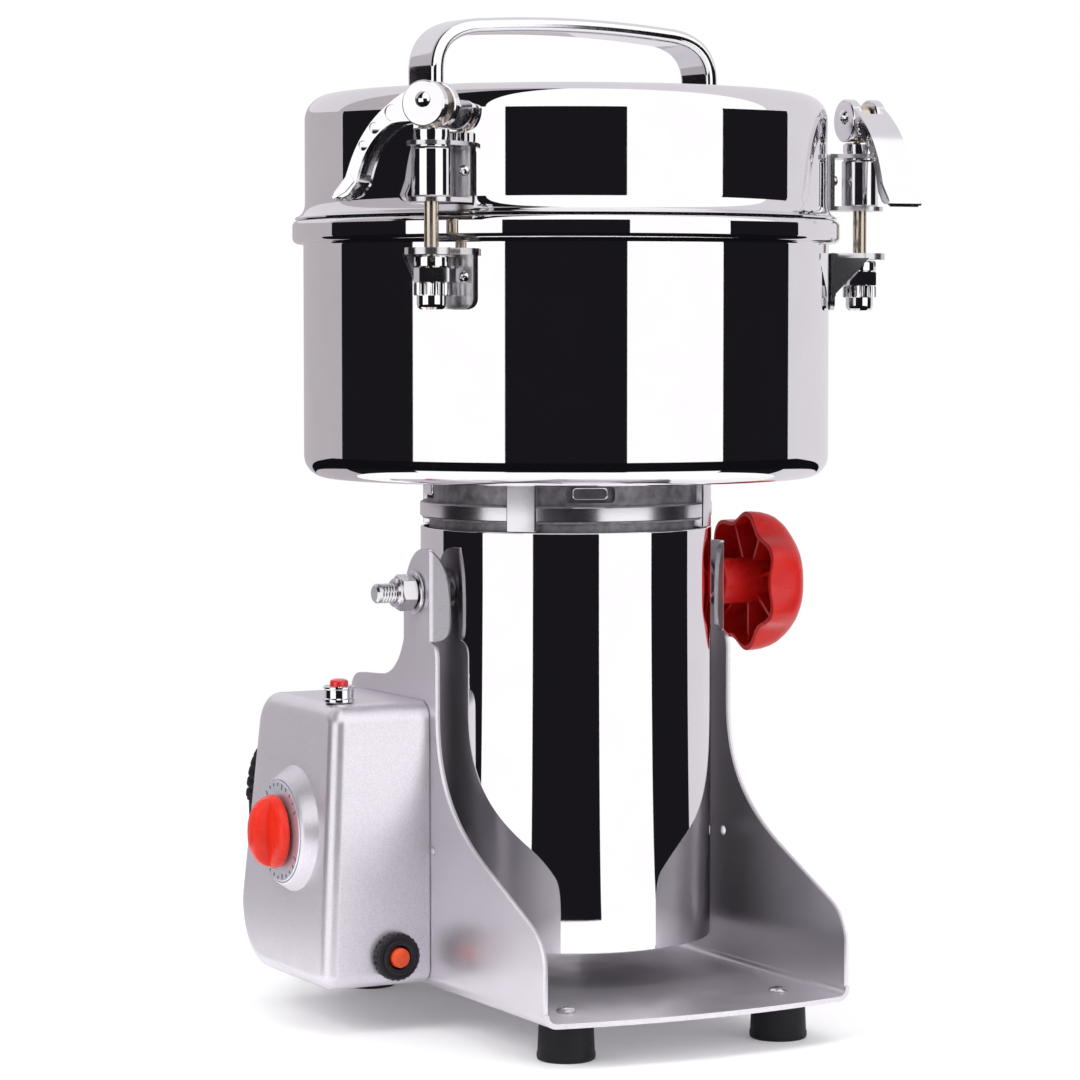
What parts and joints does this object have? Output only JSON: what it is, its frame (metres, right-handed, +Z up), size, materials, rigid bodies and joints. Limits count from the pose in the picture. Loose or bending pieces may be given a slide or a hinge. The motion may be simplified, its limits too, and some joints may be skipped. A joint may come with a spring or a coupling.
{
  "type": "hammer mill",
  "caption": "Swing-type electric grain mill: a polished grinding chamber on a motor tube tilts in a sheet-metal yoke, with a clamped lid, a timer switch box and a mains cord.",
  "frame": {"origin": "on the worktop, at the middle of the four feet, straight below the rotor axis", "axes": "+X along the tilt pivots towards the clamp knob (the switch box is on the -X arm), -Y the open front, +Z up"},
  "size_m": [0.2544, 0.3382, 0.4093],
  "materials": {
    "silver_paint": "satin silver paint on pressed sheet",
    "polished_steel": "mirror-polished stainless steel",
    "brushed_steel": "bright machined or pressed steel",
    "chrome": "bright chrome plate",
    "cast_aluminium": "as-cast aluminium, dark",
    "motor_core": "steel laminations with varnished copper windings",
    "carbon": "pressed carbon",
    "black_rubber": "moulded black rubber",
    "black_plastic": "moulded black plastic",
    "red_plastic": "semi-gloss moulded red plastic",
    "red_lens": "translucent red plastic",
    "orange_plastic": "glossy orange plastic",
    "white_silicone": "translucent white silicone"
  },
  "bodies": {
    "stand": {"yoke_frame": "silver_paint", "foot_front_left": "black_rubber", "foot_front_right": "black_rubber", "foot_rear_left": "black_rubber", "foot_rear_right": "black_rubber", "switch_box": "silver_paint", "timer_dial": "silver_paint", "timer_mechanism": "brushed_steel", "power_bezel": "chrome", "breaker_body": "black_plastic", "strain_relief": "black_rubber", "cord_run": "black_rubber", "cord_coil": "black_rubber", "cord_tie": "black_plastic", "cord_tail": "black_rubber", "mains_plug": "black_plastic"},
    "timer": {"timer_knob": "red_plastic"},
    "power_switch": {"power_button": "red_lens"},
    "breaker_reset": {"breaker_button": "orange_plastic"},
    "mill": {"trunnion_left": "brushed_steel", "trunnion_right": "brushed_steel", "pivot_washer": "chrome", "pivot_nut": "chrome", "motor_tube": "polished_steel", "motor_bracket": "cast_aluminium", "motor_end_cap": "black_plastic", "stator": "motor_core", "bearing_upper": "brushed_steel", "bearing_lower": "brushed_steel", "carbon_brush_front": "carbon", "carbon_brush_rear": "carbon", "bowl": "polished_steel", "shaft_seal": "black_rubber", "lower_bracket_left": "brushed_steel", "lower_bracket_right": "brushed_steel", "lower_bracket_rear": "brushed_steel"},
    "clamp_thrust": {"clamp_washer": "chrome"},
    "clamp": {"clamp_knob": "red_plastic"},
    "rotor": {"rotor_shaft": "brushed_steel", "armature": "motor_core", "cooling_fan": "black_plastic", "lower_blade": "polished_steel", "upper_blade": "polished_steel", "blade_nut": "chrome"},
    "cover": {"lid": "polished_steel", "seal_ring": "white_silicone", "handle": "chrome", "upper_bracket_left": "chrome", "upper_bracket_right": "chrome", "upper_bracket_rear": "chrome"},
    "rod_left": {"latch_rod_left": "brushed_steel"},
    "lever_left": {"latch_lever_left": "chrome"},
    "nut_left": {"adjusting_nut_left": "chrome"},
    "rod_right": {"latch_rod_right": "brushed_steel"},
    "lever_right": {"latch_lever_right": "chrome"},
    "nut_right": {"adjusting_nut_right": "chrome"},
    "rod_rear": {"latch_rod_rear": "brushed_steel"},
    "lever_rear": {"latch_lever_rear": "chrome"},
    "nut_rear": {"adjusting_nut_rear": "chrome"}
  },
  "joints": [
    {"name": "tilt", "type": "hinge", "parent": "stand", "child": "mill", "pos_m": [0, 0, 0.1765], "axis": [1, 0, 0], "range_deg": [-45, 90]},
    {"name": "clamp_slide", "type": "slide", "parent": "mill", "child": "clamp_thrust", "axis": [1, 0, 0], "range_m": [0, 0.00125]},
    {"name": "clamp_turn", "type": "hinge", "parent": "clamp_thrust", "child": "clamp", "pos_m": [0.085, 0, 0.1765], "axis": [1, 0, 0], "range_deg": [0, 360]},
    {"name": "timer_turn", "type": "hinge", "parent": "stand", "child": "timer", "pos_m": [-0.118, 0.024, 0.0795], "axis": [-1, 0, 0], "range_deg": [-300, 0]},
    {"name": "power_press", "type": "slide", "parent": "stand", "child": "power_switch", "axis": [0, 0, -1], "range_m": [0, 0.002], "stiffness_N_per_m": 400, "springref_m": -0.001},
    {"name": "breaker_press", "type": "slide", "parent": "stand", "child": "breaker_reset", "axis": [0, 1, 0], "range_m": [0, 0.002], "stiffness_N_per_m": 400, "springref_m": -0.001},
    {"name": "rotor_spin", "type": "hinge", "parent": "mill", "child": "rotor", "pos_m": [0, 0, 0.12], "axis": [0, 0, 1], "continuous": true},
    {"name": "lid_lift", "type": "slide", "parent": "mill", "child": "cover", "axis": [0, 0, 1], "range_m": [0, 0.15]},
    {"name": "rod_drop_left", "type": "slide", "parent": "cover", "child": "rod_left", "axis": [0, 0, -1], "range_m": [0, 0.0018]},
    {"name": "lever_left", "type": "hinge", "parent": "rod_left", "child": "lever_left", "pos_m": [-0.09718, -0.07376, 0.3699], "axis": [0.7638, 0.6455, 0], "range_deg": [0, 120]},
    {"name": "nut_drop_left", "type": "slide", "parent": "mill", "child": "nut_left", "axis": [0, 0, -1], "range_m": [0, 0.0018]},
    {"name": "rod_drop_right", "type": "slide", "parent": "cover", "child": "rod_right", "axis": [0, 0, -1], "range_m": [0, 0.0018]},
    {"name": "lever_right", "type": "hinge", "parent": "rod_right", "child": "lever_right", "pos_m": [0.11247, -0.04728, 0.3699], "axis": [-0.9978, 0.0663, 0], "range_deg": [0, 120]},
    {"name": "nut_drop_right", "type": "slide", "parent": "mill", "child": "nut_right", "axis": [0, 0, -1], "range_m": [0, 0.0018]},
    {"name": "rod_drop_rear", "type": "slide", "parent": "cover", "child": "rod_rear", "axis": [0, 0, -1], "range_m": [0, 0.0018]},
    {"name": "lever_rear", "type": "hinge", "parent": "rod_rear", "child": "lever_rear", "pos_m": [-0.01529, 0.12104, 0.3699], "axis": [0.1771, -0.9842, 0], "range_deg": [0, 120]},
    {"name": "nut_drop_rear", "type": "slide", "parent": "mill", "child": "nut_rear", "axis": [0, 0, -1], "range_m": [0, 0.0018]}
  ],
  "couplings": [
    {"joint": "clamp_turn", "follows": "clamp_slide", "rad_per_m": 5026.5},
    {"joint": "lever_left", "follows": "rod_drop_left", "rad_per_m": 1163.5},
    {"joint": "nut_drop_left", "follows": "rod_drop_left", "ratio": 1},
    {"joint": "lever_right", "follows": "rod_drop_right", "rad_per_m": 1163.5},
    {"joint": "nut_drop_right", "follows": "rod_drop_right", "ratio": 1},
    {"joint": "lever_rear", "follows": "rod_drop_rear", "rad_per_m": 1163.5},
    {"joint": "nut_drop_rear", "follows": "rod_drop_rear", "ratio": 1}
  ]
}
